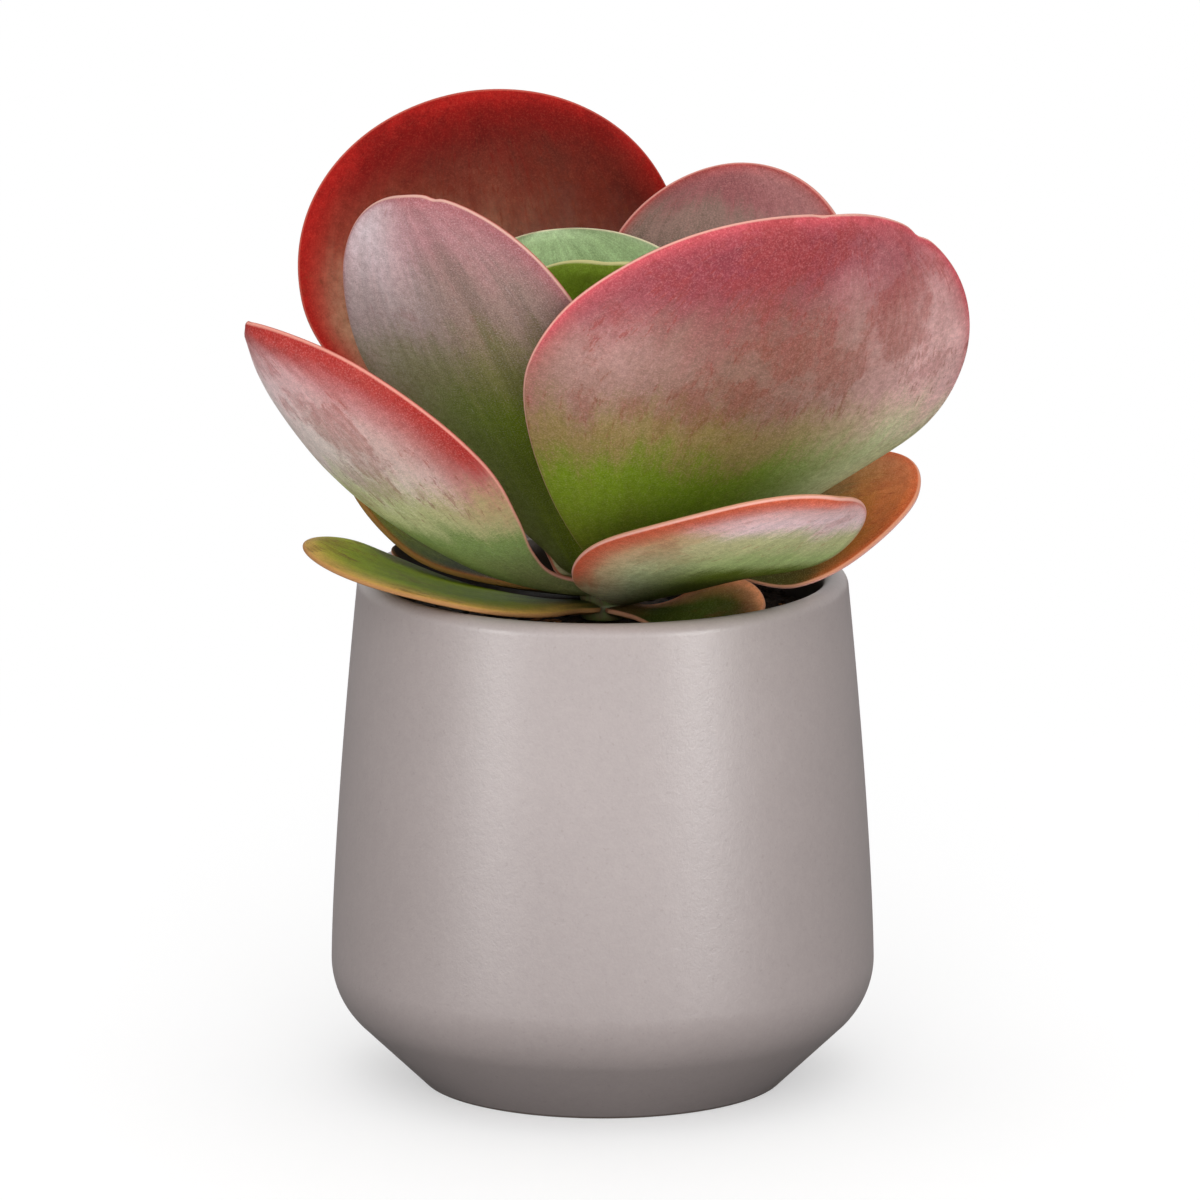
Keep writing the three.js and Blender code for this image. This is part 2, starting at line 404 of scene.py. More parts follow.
# %% Group: powdery bloom
DRIFTS = (0.04, 0.025, 1)
MOTTLE_SCALE = 0.5
GRAIN_SCALE = 2.4
DRIFT_SEEN = (0.35, 0.65)
MOTTLE_SEEN = (0.32, 0.68)

bloom, w, given, wanted = new_group(
    "powdery_bloom", {"Place": "vector"}, {"Drift": "value", "Mottle": "value", "Grain": "value"})
drift = w.drawn_cloud(given["Place"], DRIFTS, 4.0, 0.6)
w.plug(w.band(drift, *DRIFT_SEEN), wanted["Drift"])
mottle = w.cloud(given["Place"], MOTTLE_SCALE, 4.0, 0.7)
w.plug(w.band(mottle, *MOTTLE_SEEN), wanted["Mottle"])
w.plug(w.cloud(given["Place"], GRAIN_SCALE, 3.0, 0.75), wanted["Grain"])
print("built group", bloom.name)

# %% [markdown]
# ## The colour of one face of a leaf
# From foot to tip a leaf goes through five colours: a dark foot, partly its own colour and partly
# painted shade in the heart of the plant, a green body, a brownish turn where red begins to cover
# the green, a dusty top and a redder tip. Red also floods in from the margin, on some leaves mostly
# from one side, and one side is paler: partly thicker bloom, partly painted sheen where the face
# turns away to a grazing angle. The rim itself is a thin pale line, partly the margin's own colour
# and partly painted highlight on the thin edge. Both faces of a leaf use this one group with
# different values. It is built up here in layers, the way they lie on the leaf.

# %% Group: one face of a leaf
RAMP = ("Foot", "Body", "Turn", "Top", "Tip")
FACE_COLOURS = (*RAMP, "Flush", "Mark", "Bloom", "Rim")
FACE_VALUES = ("Foot_at", "Body_at", "Turn_at", "Top_at", "Tip_at", "Lean",
               "Flush_reach", "Flush_from", "Flush_side", "Bloom_share", "Bloom_side", "Bloom_low",
               "Marking", "Streaking", "Dusting")

face_inputs = {c + " colour": "colour" for c in FACE_COLOURS}
face_inputs.update({v.replace("_", " "): "value" for v in FACE_VALUES})
leaf_face, w, given, wanted = new_group(
    "leaf_face", face_inputs, {"Colour": "colour", "Dust": "value", "Relief": "value"})
place = w.attribute("leaf_mm", "Vector")
fan = w.attribute("leaf_fan", "Vector")
margin = w.attribute("margin_mm")
across = w.attribute("across")
rubbed = w.attribute("rubbed")
sunned = w.plus(w.attribute("sunned"), given["Marking"])
dust = place_group(w, bloom, Place=place)
streak = place_group(w, streaks, Fan=fan)["Streak"]
marks = place_group(w, sun_marks, Place=place, Fan=fan, Amount=sunned, Rubbed=rubbed)
print("inputs of one face:", len(face_inputs))

# %% From foot to tip
# The borders between the colours lean to one side, wander and are feathered. Near the margin a
# point counts as a little higher than it is, so the redder colours reach further down there.
WOBBLES = (0.05, 0.03, 1)
EDGE_LIFT, EDGE_LIFT_MM = 0.05, 25.0
WANDER, FEATHER, STREAKY = 0.26, 0.12, 0.04

wobble = w.drawn_cloud(fan, WOBBLES, 5.0, 0.62)
height = w.times_plus(across, given["Lean"], w.attribute("along"))
height = w.plus(height, w.band(margin, 0.0, EDGE_LIFT_MM, EDGE_LIFT, 0.0))
for pattern, amount in ((wobble, WANDER), (dust["Grain"], FEATHER), (streak, STREAKY)):
    height = w.sway(pattern, amount, height)

# The foot colour is partly painted shade, for the heart of the plant where the leaves close together.
colour = given["Foot colour"]
for lower, upper in zip(RAMP, RAMP[1:]):
    reached = w.band(height, given[lower + " at"], given[upper + " at"])
    colour = w.blend(reached, colour, given[upper + " colour"])
colour = w.blend(1.0, colour, w.sway(streak, given["Streaking"], 1.0), "MULTIPLY")
print("colours from foot to tip:", RAMP)

# %% Bloom
# Bloom lies thicker in drifts and where leaves have rubbed together. One side is paler, partly from
# thicker bloom and partly painted sheen where the face turns away to a grazing angle. Low on the leaf
# the green shows through it.
PALE_GREEN = paint("#dfe6b8")
GREEN_BLOOMED = 0.8
LEAST_BLOOM, DRIFT_BLOOM, MOTTLE_BLOOM = 0.6, 0.5, 0.2
LEAST_SMEAR, DRIFT_SMEAR = 0.1, 0.2
SIDE_FROM, SIDE_TO = -0.2, 1.0

# The side mask is partly bloom and partly painted sheen: a paler side, as if it caught the white
# surroundings at a grazing angle.
bloom_side = w.band(w.times(across, given["Bloom side"]), SIDE_FROM, SIDE_TO)
bloom_drift = w.times_plus(dust["Mottle"], MOTTLE_BLOOM, LEAST_BLOOM)
bloom_drift = w.times_plus(dust["Drift"], DRIFT_BLOOM, bloom_drift)
bloom_high = w.minus(1.0, given["Bloom low"])
bloom_up = w.band(height, given["Turn at"], given["Tip at"], given["Bloom low"], bloom_high)
bloom_and_sheen = w.times(bloom_side, bloom_drift, given["Bloom share"], bloom_up)
smeared = w.times(rubbed, w.times_plus(dust["Drift"], DRIFT_SMEAR, LEAST_SMEAR))
green_bloom = w.blend(GREEN_BLOOMED, given["Body colour"], PALE_GREEN)
above_green = w.band(height, given["Body at"], given["Top at"])
bloom_colour = w.blend(above_green, green_bloom, given["Bloom colour"])
colour = w.blend(w.plus(bloom_and_sheen, smeared), colour, bloom_colour)
print("low bloom is", GREEN_BLOOMED, "pale green")

# %% Red from the margin
# Red floods in from the margin, first strong and then faint, with a ragged border.
STRONG_REACH = 0.4
LEAST_FLUSH = 0.02
FLUSH_RISE = 0.3
RAGGED_MOST, RAGGED_LESS = 1.8, -1.6

one_sided = w.sum("MAXIMUM", w.times_plus(across, given["Flush side"], 1.0), LEAST_FLUSH)
ragged = w.times_plus(wobble, RAGGED_LESS, RAGGED_MOST)
flush_depth = w.times(given["Flush reach"], one_sided, ragged)
strong = w.band(margin, 0.0, w.times(flush_depth, STRONG_REACH), 1.0, 0.0)
faint = w.band(margin, 0.0, flush_depth, 1.0, 0.0)
flush_in = w.times_plus(strong, 0.5, w.times(faint, 0.5))
flush_up = w.band(height, given["Flush from"], w.plus(given["Flush from"], FLUSH_RISE))
colour = w.blend(w.times(flush_in, flush_up), colour, given["Flush colour"])
print("strong red fills", STRONG_REACH, "of the flush")

# %% Sun marks, powder and rim
# Patches and scratches are brown where green still shows and take the leaf's own mark colour
# higher up. Scuffs are pale.
BROWNED = paint("#74492f")
PATCH_SHARE, SCRATCH_SHARE = 0.38, 0.9
MARKS_LOW_DOWN = 0.15
MOTTLING, GRAININESS = 0.2, 0.9
POWDER_SEEN = (0.47, 0.76)
VEIN_RELIEF = 0.4
RIM_MM = (0.1, 0.5)
RIM_STRENGTH = 0.8

mark_height = w.band(height, given["Body at"], given["Top at"], MARKS_LOW_DOWN, 1.0)
mark_share = w.times_plus(marks["Patch"], PATCH_SHARE, w.times(marks["Scratch"], SCRATCH_SHARE))
marked = w.sum("MINIMUM", w.times(mark_share, mark_height), given["Marking"])
reddening = w.band(height, given["Body at"], given["Tip at"])
colour = w.blend(marked, colour, w.blend(reddening, BROWNED, given["Mark colour"]))
colour = w.blend(w.times(marks["Scuff"], given["Dusting"]), colour, given["Bloom colour"])

# Fine powder: a mottle of a few millimetres and a grain of half a millimetre.
mottled = w.sway(dust["Mottle"], MOTTLING, 1.0)
grained = w.sway(dust["Grain"], GRAININESS, mottled)
colour = w.blend(1.0, colour, grained, "MULTIPLY")
powder = w.times(w.band(dust["Grain"], *POWDER_SEEN), given["Dusting"])
colour = w.blend(powder, colour, given["Bloom colour"])

# The pale rim line is partly the margin's own colour and partly painted highlight where light catches
# the thin edge.
rim_line_and_highlight = w.band(margin, *RIM_MM, RIM_STRENGTH, 0.0)
w.plug(w.blend(rim_line_and_highlight, colour, given["Rim colour"]), wanted["Colour"])
w.plug(w.times(dust["Drift"], given["Dusting"]), wanted["Dust"])
w.plug(w.times_plus(streak, VEIN_RELIEF, dust["Grain"]), wanted["Relief"])
print("built group", leaf_face.name, "with", len(leaf_face.nodes), "nodes")

# %% [markdown]
# ## The leaves: shape
# A leaf is a grid of points: stations along its midrib from foot to tip, and a ring of points at
# each station. The midrib is walked in small steps and swings, rises, twists and veers on the
# way. Across, the blade is cupped like a shallow trough. Its flesh is thickest along the middle,
# and its margin is fully rounded, which is what makes the rim catch the light as a thin line.
# These few numbers for each leaf are the ones its CAD solid was made with.

# %% Where the leaves stand
# In millimetres and degrees. Each pair: how far out its feet stand from the axis, their height,
# and the width and depth of a foot.
PAIRS = {
    1: dict(out=8, height=120.4, foot=11, depth=2.8),
    2: dict(out=8, height=121.5, foot=13, depth=3.4),
    3: dict(out=8, height=124, foot=14, depth=3.8),
    4: dict(out=8, height=126.6, foot=15, depth=4),
    5: dict(out=8, height=129.5, foot=15, depth=4.4),
    6: dict(out=7.3, height=132, foot=14, depth=4.4),
    7: dict(out=6, height=134.5, foot=10, depth=4),
    8: dict(out=2.2, height=138, foot=5, depth=2.6),
}
FOOT_DIRECTION = {"front_right": -45, "back_left": 135, "front_left": -135, "back_right": 45}
# Each leaf: its compass heading at the foot, its turn on the way to the tip, its rise at the foot
# and at the tip, its roll about the midrib, its veer to one side, and half the angle of its cup.
# Then its outline: broad is where along the leaf it is widest, taper how slowly it narrows to the
# foot, point how bluntly it ends, and lean how much wider one side is than the other.
USUAL = dict(broad=0.64, taper=0.86, point=0.5, lean=0, thick=3.6)

LEAVES = {
    "leaf_1_front_right": dict(
        heading=-49, turn=37, rise=(3, 14), roll=28, veer=3, cup=18,
        length=41, width=24, taper=0.95, thick=3.0),
    "leaf_1_back_left": dict(
        heading=166, turn=9, rise=(-1, 28), roll=-18, veer=-2, cup=9,
        length=50, width=15, thick=2.0),
    "leaf_2_front_left": dict(
        heading=-135, turn=-57, rise=(7, 25), roll=1, veer=-4, cup=3,
        length=77, width=53.5, broad=0.5, taper=1.36, lean=-0.07),
    "leaf_2_back_right": dict(
        heading=37, turn=0, rise=(9, 24), roll=0, veer=0, cup=19,
        length=56, width=34),
    "leaf_3_front_right": dict(
        heading=-76, turn=30, rise=(16, 32), roll=-10, veer=8, cup=12,
        length=107, width=63, broad=0.53, taper=0.72),
    "leaf_3_back_left": dict(
        heading=173, turn=5, rise=(3, 51), roll=-8, veer=-5, cup=10,
        length=69, width=42, taper=0.81),
    "leaf_4_front_left": dict(
        heading=-136, turn=-5, rise=(11, 65), roll=-8, veer=-8, cup=35,
        length=134, width=90, taper=1.01, point=0.75, lean=0.10),
    "leaf_4_back_right": dict(
        heading=4, turn=-31, rise=(15, 25), roll=29, veer=-7, cup=4,
        length=80, width=48, taper=0.90),
    "leaf_5_front_right": dict(
        heading=-54, turn=2, rise=(21, 84), roll=-11, veer=3, cup=24,
        length=139, width=123, broad=0.62, taper=0.59, lean=-0.11),
    "leaf_5_back_left": dict(
        heading=120, turn=-21, rise=(42, 90), roll=-6, veer=8, cup=3,
        length=127.5, width=98.5, lean=0.02),
    "leaf_6_front_left": dict(
        heading=-110, turn=-22, rise=(42, 68), roll=6, veer=-7, cup=10,
        length=131, width=70, taper=0.50),
    "leaf_6_back_right": dict(
        heading=30, turn=27, rise=(46, 80), roll=32, veer=9, cup=28,
        length=106, width=67, broad=0.67),
    "leaf_7_front_right": dict(
        heading=-79, turn=-23, rise=(72, 63), roll=-5, veer=-4, cup=26,
        length=87, width=66, thick=3.2),
    "leaf_7_back_left": dict(
        heading=122, turn=-5, rise=(78, 77), roll=-11, veer=2, cup=38,
        length=80, width=79, taper=0.90, thick=3.4),
    "leaf_8_front_left": dict(
        heading=-139, turn=0, rise=(82, 82), roll=0, veer=-1, cup=33,
        length=30, width=15, thick=2.2),
    "leaf_8_back_right": dict(
        heading=35, turn=0, rise=(82, 82), roll=1, veer=-4, cup=31,
        length=34, width=15, thick=2.2),
}
print("leaves:", len(LEAVES))

# %% The midrib
MIDRIB_STEPS = 240
ROLLED_AT = 0.6


def turned(vector, axis, angle):
    """vector turned about axis by angle, where the two stand at right angles."""
    return vector * np.cos(angle)[:, None] + np.cross(axis, vector) * np.sin(angle)[:, None]


def midrib(leaf, pair, direction):
    """Points of the midrib in millimetres with three axes at each: along, side and face."""
    t = np.linspace(0, 1, MIDRIB_STEPS + 1)
    compass = np.radians(leaf["heading"] + leaf["turn"] * t)
    climb = np.radians(mix(leaf["rise"][0], leaf["rise"][1], t))
    east, north = np.cos(compass), np.sin(compass)
    along = np.stack([east * np.cos(climb), north * np.cos(climb), np.sin(climb)], 1)
    side = np.stack([-north, east, 0 * t], 1)
    face = np.cross(along, side)
    roll = np.radians(leaf["roll"]) * smooth(t / ROLLED_AT)
    side = turned(side, along, roll)
    face = turned(face, along, roll)
    veer = np.radians(leaf["veer"] * t)
    along = turned(along, face, veer)
    side = turned(side, face, veer)
    angle = math.radians(direction)
    foot = np.array([pair["out"] * math.cos(angle), pair["out"] * math.sin(angle), pair["height"]])
    steps = along[:-1] * leaf["length"] / MIDRIB_STEPS
    points = np.vstack([foot, foot + np.cumsum(steps, 0)])
    return t, points, along, side, face


# %% The outline and the distance to it
MARGIN_RADIUS_MM = 0.7
TIP_FULLNESS = 2.1


def half_width(leaf, pair, t):
    """Half the blade's width: a narrow foot, a swelling sine and a rounded end."""
    broad = leaf["broad"]
    # This power puts the top of the sine at broad instead of halfway.
    skew = math.log(0.5) / math.log(broad)
    swelling = np.sin(np.pi * np.clip(t, 0, 1) ** skew) ** leaf["taper"]
    past = np.clip((t - broad) / (1 - broad), 0, 1)
    rounding = (1 - past ** TIP_FULLNESS) ** leaf["point"]
    blade = np.where(t < broad, swelling, rounding)
    foot = pair["foot"] / 2 * np.sqrt((1 - t) * (1 - blade * blade))
    return np.hypot(leaf["width"] / 2 * blade, foot)


def distance_to_edge(x, y):
    """How far each point of the flattened leaf lies from the leaf's edge, in millimetres."""
    left = np.stack([x[:, 0], y[:, 0]], 1)
    right = np.stack([x[:, -1], y[:, -1]], 1)
    outline = np.vstack([left, right[::-1]])
    start, end = outline[:-1], outline[1:]
    line = end - start
    to_point = np.stack([x, y], -1)[..., None, :] - start
    share = np.clip((to_point * line).sum(-1) / np.maximum((line * line).sum(-1), 1e-9), 0, 1)
    return np.sqrt(((to_point - share[..., None] * line) ** 2).sum(-1)).min(-1)


# %% [markdown]
# A real margin is never a perfect curve. It waves a little, and here and there it was nicked when
# the leaf was young and healed as a small dent. The waves are a few sines of different lengths,
# and a nick presses the points near one place of the margin towards the middle of the leaf.

# %% Waves and nicks
WAVES_MM = (95, 60, 41, 27)


def ripple(x, y, random):
    """Gentle unevenness of a leaf's face in millimetres, about plus or minus one."""
    total = 0
    for length in WAVES_MM:
        heading, phase = random.uniform(0, 2 * np.pi, 2)
        ahead = x * np.cos(heading) + y * np.sin(heading)
        total = total + length / WAVES_MM[0] * np.sin(2 * np.pi * ahead / length + phase)
    return total / 2


# A nick is (along, side, depth, reach): its place on the margin, then its size in millimetres.
NICKS = {
    "leaf_6_front_left": [(0.99, 0.99, 0.7, 1.5)],
    "leaf_5_front_right": [(0.998, -0.62, 0.5, 1.2), (0.955, 0.95, 1.0, 3.0)],
    "leaf_4_front_left": [(0.984, -0.6, 0.8, 1.6)],
}


def place_on(leaf, pair, along, side):
    """A place on the flattened leaf in millimetres, from its shares along and across."""
    return side * half_width(leaf, pair, np.array([along]))[0], along * leaf["length"]


def fading(x, y, middle, reach):
    """1 at the middle, fading out evenly all round over about reach."""
    return np.exp(-((x - middle[0]) ** 2 + (y - middle[1]) ** 2) / reach ** 2)


def pressed(x, y, leaf, pair, nicks):
    """Moves points of the flattened leaf in from each nick, towards the blade's middle."""
    for along, side, depth, reach in nicks:
        nick = place_on(leaf, pair, along, side)
        inward = np.array([-nick[0], leaf["broad"] * leaf["length"] - nick[1]])
        inward = inward / np.hypot(*inward)
        near = depth * fading(x, y, nick, reach)
        x, y = x + inward[0] * near, y + inward[1] * near
    return x, y


# %% [markdown]
# The sun marks some places more than others, and leaves that touch rub their bloom together.
# Such places are round spots that fade out, and the finish breaks them up into patches.

# %% Sunned and rubbed places
# A spot is (along, side, reach): its place as shares of the leaf, and its size in millimetres.
SUNNED = {
    "leaf_5_front_right": [
        (0.76, -0.2, 9), (0.72, 0.12, 11), (0.77, 0.4, 10), (0.83, 0.58, 8),
        (0.6, -0.26, 12), (0.97, -0.6, 9), (0.94, -0.2, 13)],
    "leaf_5_back_left": [(0.82, -0.7, 14), (0.9, 0.55, 12), (0.7, 0.8, 12)],
    "leaf_4_front_left": [(0.76, 0.3, 10), (0.84, 0.2, 8), (0.68, 0.42, 9)],
    "leaf_3_front_right": [(0.5, -0.5, 9), (0.62, -0.7, 8)],
}
RUBBED = {
    "leaf_5_front_right": [(0.88, 0.2, 8), (0.9, 0.9, 9), (0.7, 0.85, 14), (0.68, -0.8, 16)],
    "leaf_5_back_left": [(0.72, -0.1, 17), (0.57, 0.84, 7)],
    "leaf_4_front_left": [(0.8, -0.3, 14)],
}


def spread(x, y, leaf, pair, spots):
    """How much each point lies inside the spots: 1 at the middle of a spot, fading round it."""
    total = np.zeros_like(x)
    for along, side, reach in spots:
        total = total + fading(x, y, place_on(leaf, pair, along, side), reach)
    return np.clip(total, 0, 1)


# %% Stations along and places across
STATIONS = 84
ACROSS = 21
ROUNDING = 4
ROUNDING_ROOM = 0.3
TIP_CROWDING = 1.7
# The last station stops just short of the tip, where the width would be nothing.
TIP_GAP = 1e-5


def along_stations():
    """Shares of the length from foot to tip, closer together where the outline turns fastest."""
    even = np.arange(STATIONS + 1) / STATIONS
    stations = 1 - (1 - even) ** TIP_CROWDING
    stations[-1] = 1 - TIP_GAP
    return stations


def across_places(half):
    """Shares across each station from -1 to 1: close together round the margin, then even."""
    turn = np.linspace(0, np.pi / 2, ROUNDING + 1)
    inset = MARGIN_RADIUS_MM * (1 - np.cos(turn))
    # Where the leaf is narrow, the rounding takes up no more than its share of the half width.
    rim = 1 - np.minimum(inset / half[:, None], ROUNDING_ROOM * inset / MARGIN_RADIUS_MM)
    inner = np.linspace(-1, 1, ACROSS)[1:-1] * rim[:, -1:]
    return np.hstack([-rim, inner, rim[:, ::-1]])


# %% The leaf as a grid of points
RIPPLE_MM = 0.7
RIPPLE_FROM_MM = 30
FOOT_THICK_TO = 0.35
SWELL_MM = 3


def flesh_depth(leaf, pair, t, across, margin):
    """How far the flesh stands off its middle: a quarter round at the margin, then swelling."""
    middle = mix(pair["depth"], leaf["thick"], smooth(t / FOOT_THICK_TO))[:, None] / 2
    within = np.clip(margin / MARGIN_RADIUS_MM, 0, 1)
    rounded = MARGIN_RADIUS_MM * np.sqrt(1 - (1 - within) ** 2)
    return rounded + (middle - MARGIN_RADIUS_MM) * (1 - across ** 2) * smooth(margin / SWELL_MM)


def leaf_grid(name):
    """The leaf's rings of points in millimetres, and what its paint reads at each point."""
    leaf = {**USUAL, **LEAVES[name]}
    number, side_name = name.split("_", 2)[1:]
    pair = PAIRS[int(number)]
    random = np.random.default_rng(sum(map(ord, name)))
    walked, spine, along, side, face = midrib(leaf, pair, FOOT_DIRECTION[side_name])

    t = along_stations()
    half = half_width(leaf, pair, t)
    across = across_places(half)
    lean = 1 + leaf["lean"] * np.sign(across)

    # The flattened leaf: x across and y along, both in millimetres.
    x = half[:, None] * across * lean
    y = np.repeat((t * leaf["length"])[:, None], across.shape[1], 1)
    margin = distance_to_edge(x, y)
    pressed_x, pressed_y = pressed(x, y, leaf, pair, NICKS.get(name, ()))

    # The cupped section: each place across lies on an arc, and flesh stands off it both ways.
    cup = math.radians(leaf["cup"])
    side_width = half[:, None] * lean
    arc = pressed_x / side_width * cup
    trough = side_width / cup
    lifted = RIPPLE_MM * smooth(y / RIPPLE_FROM_MM) * ripple(x, y, random)
    flesh = flesh_depth(leaf, pair, t, across, margin)

    def at_stations(values):
        return np.stack([np.interp(t, walked, values[:, i]) for i in range(3)], 1)[:, None, :]

    def face_points(offset):
        lateral = (trough - offset) * np.sin(arc)
        raised = trough * (1 - np.cos(arc)) + offset * np.cos(arc) + lifted
        shifted = (pressed_y - y)[..., None] * at_stations(along)
        return (at_stations(spine) + shifted + at_stations(side) * lateral[..., None]
                + at_stations(face) * raised[..., None])

    # One ring goes over the upper face, and back under the lower face without the two rims.
    def ring(upper_values, lower_values):
        return np.concatenate([upper_values, lower_values[:, -2:0:-1]], axis=1)

    count = across.shape[1]
    upper = np.ones_like(across)
    upper[:, [0, -1]] = 0.5
    on_both_faces = {
        "along": np.repeat(t[:, None], count, 1), "across": across, "margin_mm": margin,
        "sunned": spread(x, y, leaf, pair, SUNNED.get(name, ())),
        "rubbed": spread(x, y, leaf, pair, RUBBED.get(name, ())),
        "x": x, "y": y, "fan": across * leaf["width"] / 2,
    }
    return {
        **{key: ring(values, values) for key, values in on_both_faces.items()},
        "points": ring(face_points(flesh), face_points(-flesh)),
        "upper": ring(upper, 1 - upper),
        "direction": along[0], "count": count,
    }


largest = leaf_grid("leaf_5_front_right")["points"]
spread_out = largest.reshape(-1, 3) * MM
print("largest leaf:", largest.shape, spread_out.min(0).round(4), spread_out.max(0).round(4))
print("its CAD node:", *[c.round(4) for c in corner("leaf_5_front_right")])

# %% [markdown]
# ## The leaves: mesh
# The rings become quads. The tip closes on one point, and the foot goes a few millimetres further
# in, as a rounded heel that sits inside the stem, because a real leaf clasps its stem and no cut
# end shows. The upper and lower faces are laid out side by side in a map of their own.

# %% The mesh of one leaf
HEEL_MM = 4.5
HEEL_STEPS = 4
HEEL_TIP_MM = 0.2
# Each leaf and each face takes its pattern from a depth of its own in the noise.
LEAF_DEPTH, FACE_DEPTH = 37.0, 11.0
PAINT_FIELDS = ("along", "across", "margin_mm", "upper", "sunned", "rubbed")


def with_heel(grid):
    """Puts shrinking rings before the first one, for the rounded heel inside the stem."""
    first = grid["points"][0]
    centre = first.mean(0)
    turns = np.linspace(np.pi / 2, 0, HEEL_STEPS + 1)[1:-1]
    inward = grid["direction"] * HEEL_MM
    heel = [centre + (first - centre) * np.cos(a) - inward * np.sin(a) for a in turns]
    grown = {"points": np.concatenate([heel, grid["points"]])}
    for key in (*PAINT_FIELDS, "x", "y", "fan"):
        grown[key] = np.concatenate([[grid[key][0]] * len(heel), grid[key]])
    grown["y"][:len(heel)] -= (HEEL_MM * np.sin(turns))[:, None]
    return {**grid, **grown}


def leaf_mesh(name, order):
    """The closed mesh of one leaf, with all that its paint reads stored on its points."""
    grid = with_heel(leaf_grid(name))
    rings, count = grid["points"].shape[:2]
    heel_end = grid["points"][0].mean(0) - grid["direction"] * HEEL_TIP_MM
    tip_end = grid["points"][-1].mean(0)
    points = np.vstack([grid["points"].reshape(-1, 3), heel_end, tip_end]) * MM

    heel, tip = rings * count, rings * count + 1
    last = (rings - 1) * count
    round_a_ring = [(j, (j + 1) % count) for j in range(count)]
    faces = []
    for low in range(0, last, count):
        high = low + count
        faces += [(low + j, high + j, high + k, low + k) for j, k in round_a_ring]
    faces += [(heel, j, k) for j, k in round_a_ring]
    faces += [(last + j, tip, last + k) for j, k in round_a_ring]

    mesh = bpy.data.meshes.new(name + "_flesh")
    mesh.from_pydata(points.tolist(), [], faces)
    mesh.polygons.foreach_set("use_smooth", [True] * len(mesh.polygons))

    def store(label, values, kind="FLOAT"):
        ends = values[[0, -1], :].mean(1)
        flat = np.concatenate([values.reshape(rings * count, -1), ends.reshape(2, -1)])
        field = mesh.attributes.new(label, kind, "POINT")
        field.data.foreach_set("value" if kind == "FLOAT" else "vector", flat.ravel())

    for label in PAINT_FIELDS:
        store(label, grid[label])
    depth = order * LEAF_DEPTH + grid["upper"] * FACE_DEPTH
    for label, sideways in (("leaf_mm", grid["x"]), ("leaf_fan", grid["fan"])):
        store(label, np.stack([sideways, grid["y"], depth], 2), "FLOAT_VECTOR")
    lay_out(mesh, grid, rings, count)
    return mesh


# The map's square: its edge, where the right half begins, and the room for one face.
MAP_EDGE, MAP_RIGHT = 0.02, 0.51
MAP_WIDE, MAP_HIGH = 0.47, 0.96
MAP_END_MM = 0.3


def lay_out(mesh, grid, rings, count):
    """The map: the upper face on the left half of the square, the lower face on the right half."""
    x = np.append(grid["x"].ravel(), [0, 0])
    y = np.append(grid["y"].ravel(), [grid["y"].min() - MAP_END_MM, grid["y"].max() + MAP_END_MM])
    scale = min(MAP_WIDE / np.ptp(x), MAP_HIGH / np.ptp(y))
    x, y = (x - x.min()) * scale, (y - y.min()) * scale
    upper_faces = grid["count"] - 1
    chart = mesh.uv_layers.new(name="OFBake")
    corners = np.zeros(len(mesh.loops), int)
    mesh.loops.foreach_get("vertex_index", corners)
    uv = np.zeros((len(corners), 2))
    start = 0
    for polygon in mesh.polygons:
        end = start + polygon.loop_total
        picked = corners[start:end]
        places = {c % count for c in picked if c < rings * count}
        wraps = {0, count - 1} <= places
        on_upper = min(places) < upper_faces and not wraps
        uv[start:end, 0] = (MAP_EDGE if on_upper else MAP_RIGHT) + x[picked]
        uv[start:end, 1] = MAP_EDGE + y[picked]
        start = end
    chart.data.foreach_set("uv", uv.ravel())


# %% [markdown]
# ## The leaves: finish
# Each face of each leaf names its own colours and how far up they reach. A face that names
# nothing takes the usual green. The shader is the same for all: a waxy skin that hardly shines,
# a little rougher where the powder lies thick, with relief of a tenth of a millimetre or so.

# %% The finishes by leaf
# A face has its colours, how far up each is reached (0 at the foot, 1 at the tip), and how strong
# each effect is. flush_reach is in millimetres. lean, flush_side and bloom_side say how much more
# one side gets: plus and minus are the two sides.
# The side that takes more bloom is paler partly from painted sheen at a grazing angle.
GREEN_FACE = dict(
    foot="#48501c", body="#5f7420", turn="#74842c", top="#88882e", tip="#8c7c34",
    flush="#a0602e", mark="#7a3a1e", bloom="#c8c8a8", rim="#d8a080",
    foot_at=0.15, body_at=0.4, turn_at=0.65, top_at=0.82, tip_at=0.98, lean=0.0,
    flush_reach=5, flush_from=0.0, flush_side=0.0, bloom_share=0.1, bloom_side=0.0, bloom_low=0.5,
    marking=0.4, streaking=0.2, dusting=0.12)
ROSE_FACE = dict(
    foot="#626c1e", body="#728a1e", turn="#8b7848", top="#926058", tip="#8c3a3e",
    flush="#b04a48", mark="#963a36", bloom="#e4c2bc", rim="#e4b0a0",
    foot_at=0.2, body_at=0.43, turn_at=0.54, top_at=0.66, tip_at=0.95, lean=-0.07,
    flush_reach=7, flush_from=0.55, flush_side=0.0, bloom_share=0.15, bloom_side=0.0, bloom_low=0.5,
    marking=0.5, streaking=0.12, dusting=0.16)
CRIMSON_FACE = dict(
    foot="#6a6430", body="#8a5a3c", turn="#784236", top="#5e1e16", tip="#600e0c",
    flush="#a01a16", mark="#700e0c", bloom="#c0785c", rim="#c05e50",
    foot_at=0.15, body_at=0.5, turn_at=0.66, top_at=0.82, tip_at=0.97, lean=0.0,
    flush_reach=16, flush_from=0.2, flush_side=0.45, bloom_share=0.45, bloom_side=1.0, bloom_low=0.95,
    marking=0.55, streaking=0.3, dusting=0.1)

